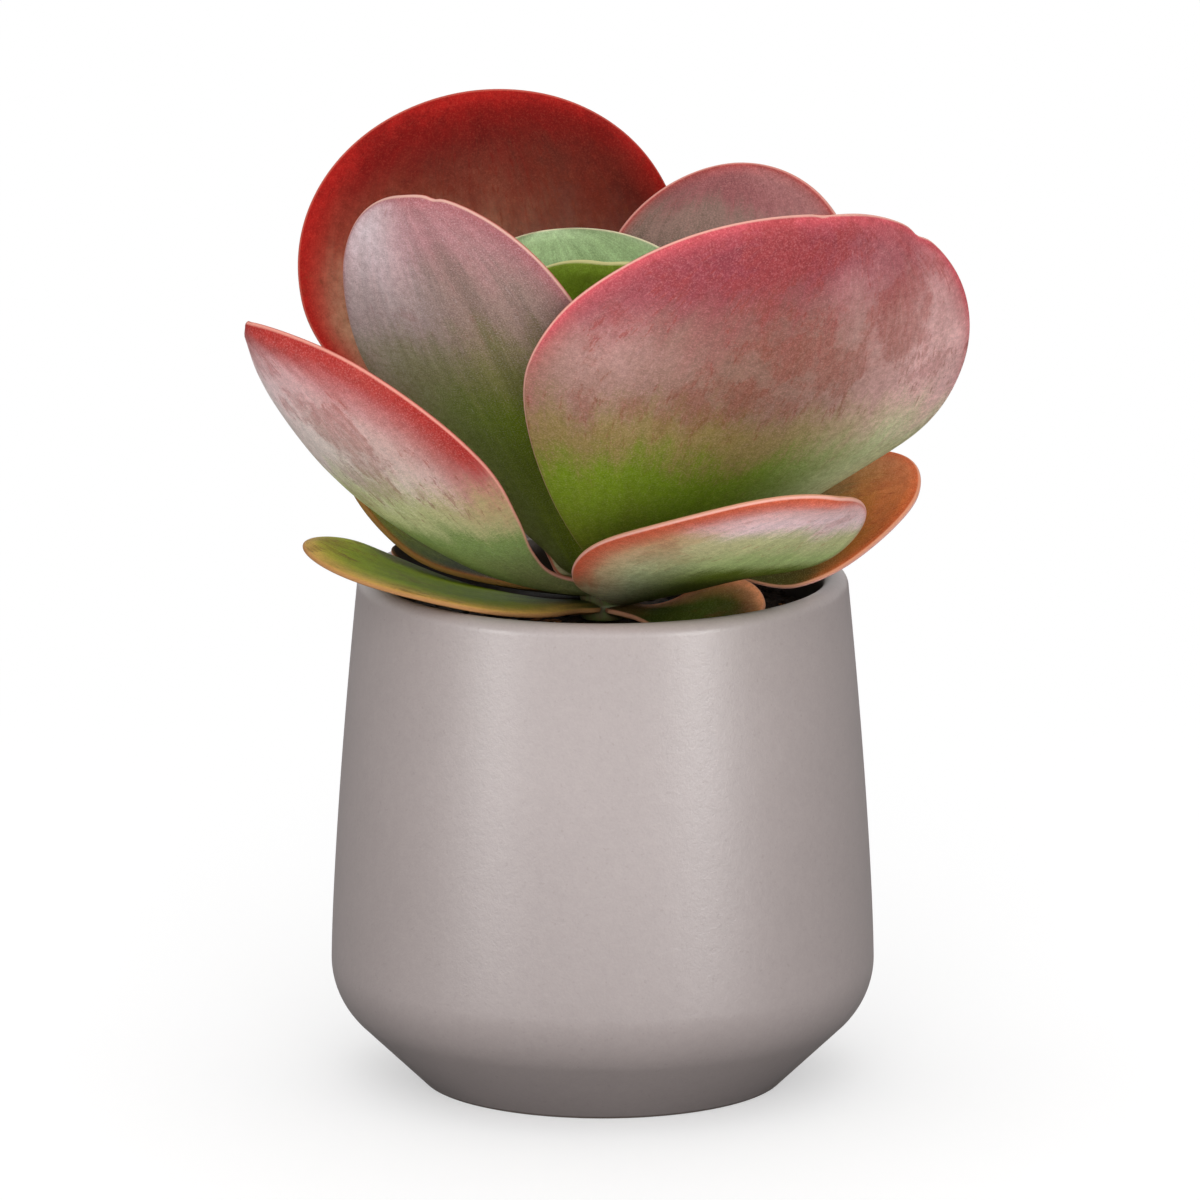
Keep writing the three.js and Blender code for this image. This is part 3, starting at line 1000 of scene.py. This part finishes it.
HEART_FRONT_FACE = dict(
    GREEN_FACE, foot="#4c6c10", body="#5c7c14", turn="#688a16", top="#6e9218", tip="#749626",
    flush="#7a9430", rim="#d8d098", marking=0.0, dusting=0.06)
HEART_BACK_FACE = dict(
    GREEN_FACE, foot="#5c7a3c", body="#7c9c58", turn="#90a670", top="#98b47c", tip="#aac690",
    flush="#b0c498", rim="#e4d6b4", marking=0.0)
HEART_FACES = {"leaf_7_front_right": HEART_FRONT_FACE, "leaf_7_back_left": HEART_BACK_FACE}

LOWER = {
    **HEART_FACES,
    "leaf_5_front_right": dict(
        ROSE_FACE, foot="#7a7c26", top="#8c6a5c", tip="#8c3e46", foot_at=0.1, lean=-0.05,
        flush="#c4525a", bloom="#f0c0be", bloom_share=1.0, bloom_side=1.0, bloom_low=0.85,
        dusting=0.15),
    "leaf_5_back_left": ROSE_FACE,
    "leaf_6_front_left": dict(
        ROSE_FACE, foot="#728414", body="#6a801a", turn="#7c7e46", top="#927a70", tip="#ac7c7e",
        flush="#a06064", bloom="#ebe2e6", rim="#dcb0a0", foot_at=0.1, body_at=0.46, turn_at=0.6,
        top_at=0.76, tip_at=0.97, lean=0.0, flush_side=0.6, flush_reach=7, flush_from=0.6,
        bloom_share=1.05, bloom_side=-1.0, bloom_low=0.4, marking=0.15, streaking=0.3,
        dusting=0.24),
    "leaf_6_back_right": ROSE_FACE,
    "leaf_4_front_left": dict(
        ROSE_FACE, foot="#788050", body="#849c58", turn="#c6cc92", top="#e4d4ca", tip="#f4d0d0",
        flush="#a4302a", mark="#ac4840", bloom="#ece0e0", rim="#e09c8c", dusting=0.12,
        body_at=0.44, turn_at=0.55, top_at=0.68, tip_at=0.97, lean=0.0, flush_reach=27,
        flush_from=0.42, flush_side=1.25, bloom_share=0.55, bloom_side=-1.0),
    "leaf_4_back_right": dict(ROSE_FACE, top="#9c6a40", tip="#a85a30"),
    "leaf_3_front_right": dict(
        GREEN_FACE, foot="#424c10", body="#5c6c1c", turn="#aec27c", top="#c8ca92", tip="#f8d8da",
        flush="#cc5c40", mark="#b04838", bloom="#dec8a0", rim="#e6b4a6", foot_at=0.3, body_at=0.46,
        turn_at=0.6, top_at=0.74, tip_at=0.9, lean=-0.08, flush_reach=13, flush_from=0.15,
        flush_side=-0.9, bloom_share=1.0, bloom_side=-1.0, bloom_low=1.0, marking=0.3,
        dusting=0.16),
    # Painted dark low down: painted shade beneath the leaves above it.
    "leaf_3_back_left": dict(
        GREEN_FACE, foot="#242c08", body="#343c0e", turn="#505a12", top="#646a14", tip="#7a7420",
        flush="#84602c", rim="#96703e"),
    "leaf_2_front_left": dict(
        GREEN_FACE, foot="#8a6838", body="#a07a44", turn="#a8844a", top="#a08848", tip="#908438",
        flush="#a06c40", flush_reach=3, rim="#bc8a5c"),
}
UPPER = {
    **HEART_FACES,
    "leaf_5_back_left": CRIMSON_FACE,
    "leaf_5_front_right": CRIMSON_FACE,
    "leaf_4_front_left": dict(CRIMSON_FACE, body="#76703c", turn="#84503a", top="#843428"),
    "leaf_6_front_left": dict(CRIMSON_FACE, body="#6c6a34", turn="#7e5240", top="#7e3a30"),
    "leaf_6_back_right": dict(
        ROSE_FACE, foot="#5c6440", body="#6c6a50", turn="#7a7060", top="#967a70", tip="#985c5e",
        flush="#b04844", bloom="#d8a4a0", rim="#d8988c", body_at=0.5, turn_at=0.72, top_at=0.85,
        tip_at=0.97, flush_reach=4, bloom_share=0.65, bloom_side=-1.0, bloom_low=0.6, marking=0.2,
        streaking=0.25, dusting=0.24),
    "leaf_4_back_right": dict(
        ROSE_FACE, foot="#3c4218", body="#4a4014", turn="#7c5420", top="#a05e22", tip="#b06030",
        flush="#c05c34", mark="#8c3c18", bloom="#c8c898", rim="#d89878", foot_at=0.35,
        body_at=0.62, turn_at=0.73, top_at=0.84, lean=0.06, bloom_share=0.3, bloom_side=1.0),
    # The foot and body are painted very dark: painted shade beneath the leaves above it.
    "leaf_3_back_left": dict(
        GREEN_FACE, foot="#1a2004", body="#222a04", turn="#4a5806", top="#6c7408", tip="#8c8420",
        flush="#945820", flush_reach=3, rim="#96703e", body_at=0.45, turn_at=0.62, top_at=0.78),
    "leaf_2_front_left": dict(
        GREEN_FACE, foot="#2c3c10", body="#748a12", turn="#7e9214", top="#8c9c20", tip="#a4ac28",
        flush="#d0a858", mark="#7c5426", rim="#b08050", flush_reach=9, flush_side=1.0,
        bloom_share=0.0, marking=0.8, dusting=0.04),
    "leaf_1_front_right": dict(
        GREEN_FACE, foot="#5c4820", body="#3c480c", turn="#485412", top="#4a4e14", tip="#6a4c26",
        flush="#f0a070", flush_reach=7, flush_side=1.0, rim="#d89878"),
    # An old, brown leaf low at the back, painted near black: its own brown plus painted shade where
    # it lies under the leaves above.
    "leaf_1_back_left": dict(
        GREEN_FACE, foot="#2c1c0e", body="#2a1a0c", turn="#24160a", top="#20140a", tip="#20140a",
        flush="#2c1c0e", rim="#5a4028", bloom_share=0.0, dusting=0.02),
}

# %% The shader of one leaf
SKIN_ROUGHNESS, POWDER_ROUGHNESS = 0.5, 0.65
FULL_DUST = 0.4


def face_of_leaf(wiring, face):
    """Places the leaf_face group with one face's colours and values."""
    colours = {c + "_colour": paint(face[c.lower()]) for c in FACE_COLOURS}
    values = {v: float(face[v.lower()]) for v in FACE_VALUES}
    return place_group(wiring, leaf_face, **colours, **values)


def leaf_finish(name):
    """The whole finish of one leaf: its lower and upper face meet halfway round the rim."""
    material, w, shader = new_finish("flesh_of_" + name, Specular_IOR_Level=0.03)
    lower = face_of_leaf(w, LOWER.get(name, GREEN_FACE))
    upper = face_of_leaf(w, UPPER.get(name, GREEN_FACE))
    side = w.attribute("upper")

    def both(label):
        """A value of the whole leaf, from the values of its two faces."""
        return w.plus(w.times(lower[label], w.minus(1.0, side)), w.times(upper[label], side))

    w.plug(w.blend(side, lower["Colour"], upper["Colour"]), shader.inputs["Base Color"])
    roughness = w.band(both("Dust"), 0.0, FULL_DUST, SKIN_ROUGHNESS, POWDER_ROUGHNESS)
    w.plug(roughness, shader.inputs["Roughness"])
    bump(w, shader, both("Relief"), distance=0.0002, strength=0.6)
    return material


def show(piece, node):
    """The finished piece takes the place of its CAD node."""
    scene.collection.objects.link(piece)
    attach(piece, "root")
    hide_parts(node)
    low, high = corner(node)
    shown = np.array([v.co for v in piece.data.vertices])
    slack = max(np.abs(shown.min(0) - low).max(), np.abs(shown.max(0) - high).max())
    faces = len(piece.data.polygons)
    print("%-22s %6d faces, %.1f mm from its CAD box" % (piece.name, faces, slack / MM))


for order, name in enumerate(LEAVES):
    mesh = leaf_mesh(name, order)
    mesh.materials.append(leaf_finish(name))
    show(bpy.data.objects.new(name + "_blade", mesh), name)

# %% [markdown]
# ## The pot
# A plain stoneware pot, thrown or slip cast as one turned form: a narrow flat foot, a skirt that
# flares at 45 degrees into the round belly, a wall that draws in to the mouth, and a rounded lip.
# One outline is turned round the upright axis, which is how the real one gets its shape.

# %% The pot's outline
POT_TURNS = 192
WALL = 0.006
FLOOR = 0.008
LIP_ROUND = 0.0032
SHOULDER = 0.021
FOOT_RADIUS = 0.0445
FOOT_ROUND = 0.0012
BELLY_RADIUS = pot_high[0]
BELLY_HEIGHT = 0.031
MOUTH_RADIUS = 0.0614
POT_HEIGHT = pot_high[2]
DRAWN_IN = 1.4
UNDERSIDE = ((0.0, 0.0), (0.012, 0.0), (0.026, 0.0), (0.038, 0.0))


def bend(centre_r, centre_z, radius, start, end, steps):
    """Part of a circle as (radius, height) points, with its angles in degrees."""
    angles = np.radians(np.linspace(start, end, steps + 1))
    return [(centre_r + radius * math.cos(a), centre_z + radius * math.sin(a)) for a in angles]


def wall_line(inset, start, end, steps):
    """The drawn-in wall between two shares of its height, at an inset from the outside."""
    shares = np.linspace(start, end, steps + 1)
    return [(mix(BELLY_RADIUS, MOUTH_RADIUS, s ** DRAWN_IN) - inset,
             mix(BELLY_HEIGHT, POT_HEIGHT - LIP_ROUND, s)) for s in shares]


pot_outline = [
    *UNDERSIDE,
    *bend(FOOT_RADIUS, FOOT_ROUND, FOOT_ROUND, -90, -45, 4),
    *bend(BELLY_RADIUS - SHOULDER, BELLY_HEIGHT, SHOULDER, -45, 0, 16),
    *wall_line(0.0, 0.05, 0.95, 18),
    *bend(MOUTH_RADIUS - LIP_ROUND, POT_HEIGHT - LIP_ROUND, LIP_ROUND, 0, 180, 16),
    *wall_line(WALL, 0.95, 0.05, 18),
    *bend(BELLY_RADIUS - SHOULDER, BELLY_HEIGHT, SHOULDER - WALL, 0, -50, 8),
    (FOOT_RADIUS - 0.002, FLOOR), (0.02, FLOOR), (0.0, FLOOR),
]
print("pot outline:", len(pot_outline), "points")


# %% Turn an outline into a mesh
CHART_EDGE = 0.01
CHART_ROOM = 0.98


def turned_mesh(name, outline, turns):
    """An outline of (radius, height) that starts and ends on the axis, turned into a closed mesh."""
    form = bmesh.new()
    angles = np.linspace(0, 2 * np.pi, turns, endpoint=False)
    rings = []
    for radius, height in outline:
        spots = [(radius * math.cos(a), radius * math.sin(a), height) for a in angles]
        rings.append([form.verts.new(spot) for spot in (spots if radius else spots[:1])])
    chart = form.loops.layers.uv.new("OFBake")
    lengths = [math.dist(a, b) for a, b in zip(outline, outline[1:])]
    travelled = np.concatenate([[0], np.cumsum(lengths)])
    travelled = travelled / travelled[-1] * CHART_ROOM + CHART_EDGE
    for lower, upper, low_v, high_v in zip(rings, rings[1:], travelled, travelled[1:]):
        for k in range(turns):
            n = (k + 1) % turns
            around = [(lower[k % len(lower)], k, low_v), (lower[n % len(lower)], k + 1, low_v),
                      (upper[n % len(upper)], k + 1, high_v), (upper[k % len(upper)], k, high_v)]
            # At the axis two corners fall together, and the quad becomes a triangle.
            kept = [c for i, c in enumerate(around) if c[0] not in [d[0] for d in around[:i]]]
            face = form.faces.new([c[0] for c in kept])
            face.smooth = True
            for loop, (_, step, share) in zip(face.loops, kept):
                loop[chart].uv = (CHART_EDGE + CHART_ROOM * step / turns, share)
    mesh = bpy.data.meshes.new(name)
    form.to_mesh(mesh)
    form.free()
    return mesh


# %% [markdown]
# The clay body is a warm taupe, matte with a soft satin glow. Close up it is never even: a large,
# slow drift of tone, a fine mottle like plaster, and sparse darker pin points where the clay's
# iron shows. The edge that the foot stands on is left bare, a little browner and rougher. Inside,
# the wall is painted dark up to just under the lip: painted shade inside the pot.

# %% The pot's finish
# Each pair is where a change begins and ends: a radius, or a height above the table.
INSIDE = (0.0566, 0.058)
MOUTH = (0.09, 0.1)
INNER_SHADE_TOP = (0.122, 0.1275)
INNER_SHADE_RAGGED = 0.004
BARE_EDGE = (0.0004, 0.001)


def pot_finish():
    """Mottled clay with dark pin points, painted shade on the inner wall and the bare foot edge."""
    material, w, shader = new_finish("matte_stoneware", Specular_IOR_Level=0.5)
    where = w.place()
    height = w.axis(where, "Z")
    radius = w.length(w.stretch(where, (1, 1, 0)))

    drift = w.cloud(where, 22.0, 3.0, 0.55)
    mottle = w.cloud(where, 420.0, 4.0, 0.7)
    grit = w.cloud(where, 1500.0, 2.0, 0.6)
    tone = 1.0
    for pattern, amount in ((drift, 0.16), (mottle, 0.16), (grit, 0.14)):
        tone = w.sway(pattern, amount, tone)
    clay = w.blend(1.0, paint("#a29795"), tone, "MULTIPLY")
    pins = w.band(w.cloud(where, 900.0, 1.0, 0.5), 0.68, 0.76)
    clay = w.blend(w.times(pins, 0.15), clay, paint("#6e625c"))

    # The inner wall is painted dark below a ragged line under the lip: painted shade inside the pot.
    inside = w.band(radius, *INSIDE, 1.0, 0.0)
    below_lip = w.band(w.sway(mottle, INNER_SHADE_RAGGED, height), *INNER_SHADE_TOP, 0.9, 0.0)
    painted_inner_shade = w.times(inside, w.band(height, *MOUTH), below_lip)
    clay = w.blend(painted_inner_shade, clay, paint("#33281f"))

    bare = w.band(height, *BARE_EDGE, 1.0, 0.0)
    w.plug(w.blend(bare, clay, paint("#74675f")), shader.inputs["Base Color"])
    roughened = w.plus(bare, w.times(mottle, 0.3))
    w.plug(w.band(roughened, 0.0, 1.3, 0.4, 0.7), shader.inputs["Roughness"])
    bump(w, shader, w.times_plus(grit, 0.5, mottle), distance=0.0002, strength=0.35)
    return material


pot_mesh = turned_mesh("stoneware_pot", pot_outline, POT_TURNS)
pot_mesh.materials.append(pot_finish())
show(bpy.data.objects.new("stoneware_pot", pot_mesh), "pot")

# %% [markdown]
# ## The stem
# The stem of a young plant is short, fleshy and hardly seen. It carries a ring-shaped scar where
# each pair of old leaves has dropped, so its outline swells a little between scars.

# %% The stem and its finish
stem_low, stem_high = corner("stem")
STEM_RADIUS = stem_high[0]
STEM_TURNS = 48
STEM_STEPS = 40
STEM_SUNK = 0.0005
NARROWING = 0.75
NARROWS_FROM = 0.35
SCARS = 5
SCAR_DEPTH = 0.0004
SCAR_SHARPNESS = 8


def stem_outline():
    """Rises from the soil with a ring-shaped scar every few millimetres, then narrows."""
    heights = np.linspace(stem_low[2] - STEM_SUNK, stem_high[2], STEM_STEPS)
    share = (heights - heights[0]) / (heights[-1] - heights[0])
    radius = STEM_RADIUS * (1 - NARROWING * smooth((share - NARROWS_FROM) / (1 - NARROWS_FROM)))
    radius = radius - SCAR_DEPTH * np.abs(np.cos(share * np.pi * SCARS)) ** SCAR_SHARPNESS
    rows = [(float(r), float(h)) for r, h in zip(radius, heights)]
    return [(0.0, rows[0][1]), *rows, (0.0, rows[-1][1])]


def stem_finish():
    """A green and brown skin with fine upright grain, painted darker as shade where the leaves close
    over it.
    """
    material, w, shader = new_finish("stem_flesh", roughness=0.6)
    grain = w.cloud(w.stretch(w.place(), (1, 1, 0.3)), 700.0, 4.0, 0.6)
    # Both colours are the stem's own green and brown, darkened as painted shade in the heart of the
    # plant.
    skin = w.blend(w.band(grain, 0.35, 0.65), paint("#5a6630"), paint("#5e4e30"))
    w.plug(skin, shader.inputs["Base Color"])
    bump(w, shader, grain, distance=0.0003, strength=0.5)
    return material


stem_mesh = turned_mesh("stem", stem_outline(), STEM_TURNS)
stem_mesh.materials.append(stem_finish())
show(bpy.data.objects.new("leafy_stem", stem_mesh), "stem")

# %% [markdown]
# ## The soil
# Potting soil is a loose mix of peat crumbs, strips of bark and the odd pale grain. A crumpled
# surface carries the small lumps, and the larger crumbs and bark chips are separate lumps pressed
# into it, so their edges cast real shadows. All of them together are one mesh.

# %% The soil's surface
soil_top = corner("soil")[1][2]
SOIL_RINGS = 60
SOIL_TURNS = 150
SURFACE_RADIUS = 0.0548
SURFACE_HEIGHT = soil_top - 0.0009
# Slow heaps, then lumps, then crumbs: how often they repeat in a metre, their layer in the noise,
# and how far they rise.
UNEVENNESS = ((60, 3, 0.0007), (230, 7, 0.0008), (700, 1, 0.0004))
# The bowl of soil under the surface, as (radius, height): it only has to stay inside the pot.
BOWL = ((SURFACE_RADIUS, 0.11), (0.0605, 0.05), (0.05, 0.0125), (0.04, 0.0088))


def crumpled(x, y):
    """Height of the soil's surface at one place."""
    height = SURFACE_HEIGHT
    for often, layer, rise in UNEVENNESS:
        height += rise * noise.noise(Vector((x * often, y * often, layer)))
    return height


def soil_surface():
    """Points and faces of a crumpled disc that is closed underneath by the bowl."""
    angles = np.linspace(0, 2 * np.pi, SOIL_TURNS, endpoint=False)
    rows = [(SURFACE_RADIUS * i / SOIL_RINGS, None) for i in range(1, SOIL_RINGS + 1)]
    points = [(0, 0, crumpled(0, 0))]
    for radius, height in (*rows, *BOWL):
        spots = [(radius * math.cos(a), radius * math.sin(a)) for a in angles]
        points += [(x, y, crumpled(x, y) if height is None else height) for x, y in spots]
    points.append((0, 0, BOWL[-1][1]))

    bottom = len(points) - 1
    last = bottom - SOIL_TURNS
    faces = []
    for k in range(SOIL_TURNS):
        n = (k + 1) % SOIL_TURNS
        faces += [(0, 1 + k, 1 + n), (bottom, last + n, last + k)]
        for inner in range(1, last, SOIL_TURNS):
            outer = inner + SOIL_TURNS
            faces.append((inner + k, outer + k, outer + n, inner + n))
    return points, faces


# %% Crumbs and bark chips
# Each kind: how many, their sizes, how they are stretched, and the shade that picks their colour.
LUMP_KINDS = {
    "peat": dict(count=620, sizes=(0.0004, 0.0013), shape=(1.0, 0.8, 0.6), shades=(0.0, 0.35)),
    "bark": dict(count=190, sizes=(0.0008, 0.0024), shape=(1.3, 0.6, 0.28), shades=(0.5, 0.85)),
    "grit": dict(count=34, sizes=(0.0004, 0.0009), shape=(1.0, 0.9, 0.8), shades=(0.95, 1.0)),
}
SOIL_SEED = 11
LUMPS_WITHIN = 0.0535
RAISED = 0.12
AROUND, TILT = 6.28, 0.5
DENT_SCALE, DENT_DEPTH = 1.6, 0.35


def small_ball():
    """Points and faces of one small faceted ball, which every lump starts from."""
    form = bmesh.new()
    bmesh.ops.create_icosphere(form, subdivisions=2, radius=1.0)
    points = [v.co.copy() for v in form.verts]
    faces = [tuple(v.index for v in f.verts) for f in form.faces]
    form.free()
    return points, faces


def lumps():
    """Points, faces and shades of all the lumps, each dented, stretched and turned at random."""
    random = np.random.default_rng(SOIL_SEED)
    ball_points, ball_faces = small_ball()
    points, faces, shades = [], [], []
    for kind, lump in LUMP_KINDS.items():
        for _ in range(lump["count"]):
            radius = LUMPS_WITHIN * math.sqrt(random.uniform(0.02, 1))
            angle = random.uniform(0, 2 * math.pi)
            size = random.uniform(*lump["sizes"])
            x, y = radius * math.cos(angle), radius * math.sin(angle)
            place = Vector((x, y, crumpled(x, y) + size * RAISED))
            turn = Matrix.Rotation(random.uniform(0, AROUND), 3, "Z")
            turn = turn @ Matrix.Rotation(random.uniform(-TILT, TILT), 3, "X")
            dents = Vector(random.uniform(-50, 50, 3))
            first = len(points)
            for p in ball_points:
                rough = size * (1 + DENT_DEPTH * noise.noise(p * DENT_SCALE + dents))
                dented = Vector(c * s * rough for c, s in zip(p, lump["shape"]))
                points.append(turn @ dented + place)
            faces += [tuple(first + k for k in face) for face in ball_faces]
            shades += [random.uniform(*lump["shades"])] * len(ball_points)
        print("scattered", lump["count"], kind)
    return points, faces, shades


# %% The soil's finish
def soil_finish():
    """Peat, bark and pale grit: the shade stored on each lump picks its colour."""
    material, w, shader = new_finish("potting_soil", roughness=0.92, Specular_IOR_Level=0.25)
    where = w.place()
    crumb = w.cloud(where, 900.0, 4.0, 0.7)
    shade = w.attribute("shade")
    peat = w.blend(w.band(crumb, 0.35, 0.65), paint("#1e1611"), paint("#3d2c1f"))
    bark = w.blend(w.band(crumb, 0.3, 0.7), paint("#5d3a20"), paint("#9a6436"))
    grit = w.blend(w.band(crumb, 0.3, 0.7), paint("#a89c88"), paint("#cfc6b4"))
    barked = w.blend(w.band(shade, 0.42, 0.5), peat, bark)
    w.plug(w.blend(w.band(shade, 0.9, 0.94), barked, grit), shader.inputs["Base Color"])
    bump(w, shader, crumb, distance=0.0008, strength=0.8)
    return material


soil_points, soil_faces = soil_surface()
soil_shades = [0.0] * len(soil_points)
lump_points, lump_faces, lump_shades = lumps()
soil_faces += [tuple(len(soil_points) + k for k in face) for face in lump_faces]
soil_mesh = bpy.data.meshes.new("potting_soil")
soil_mesh.from_pydata(soil_points + lump_points, [], soil_faces)
shade_field = soil_mesh.attributes.new("shade", "FLOAT", "POINT")
shade_field.data.foreach_set("value", soil_shades + lump_shades)
soil_mesh.materials.append(soil_finish())
show(bpy.data.objects.new("potting_soil", soil_mesh), "soil")
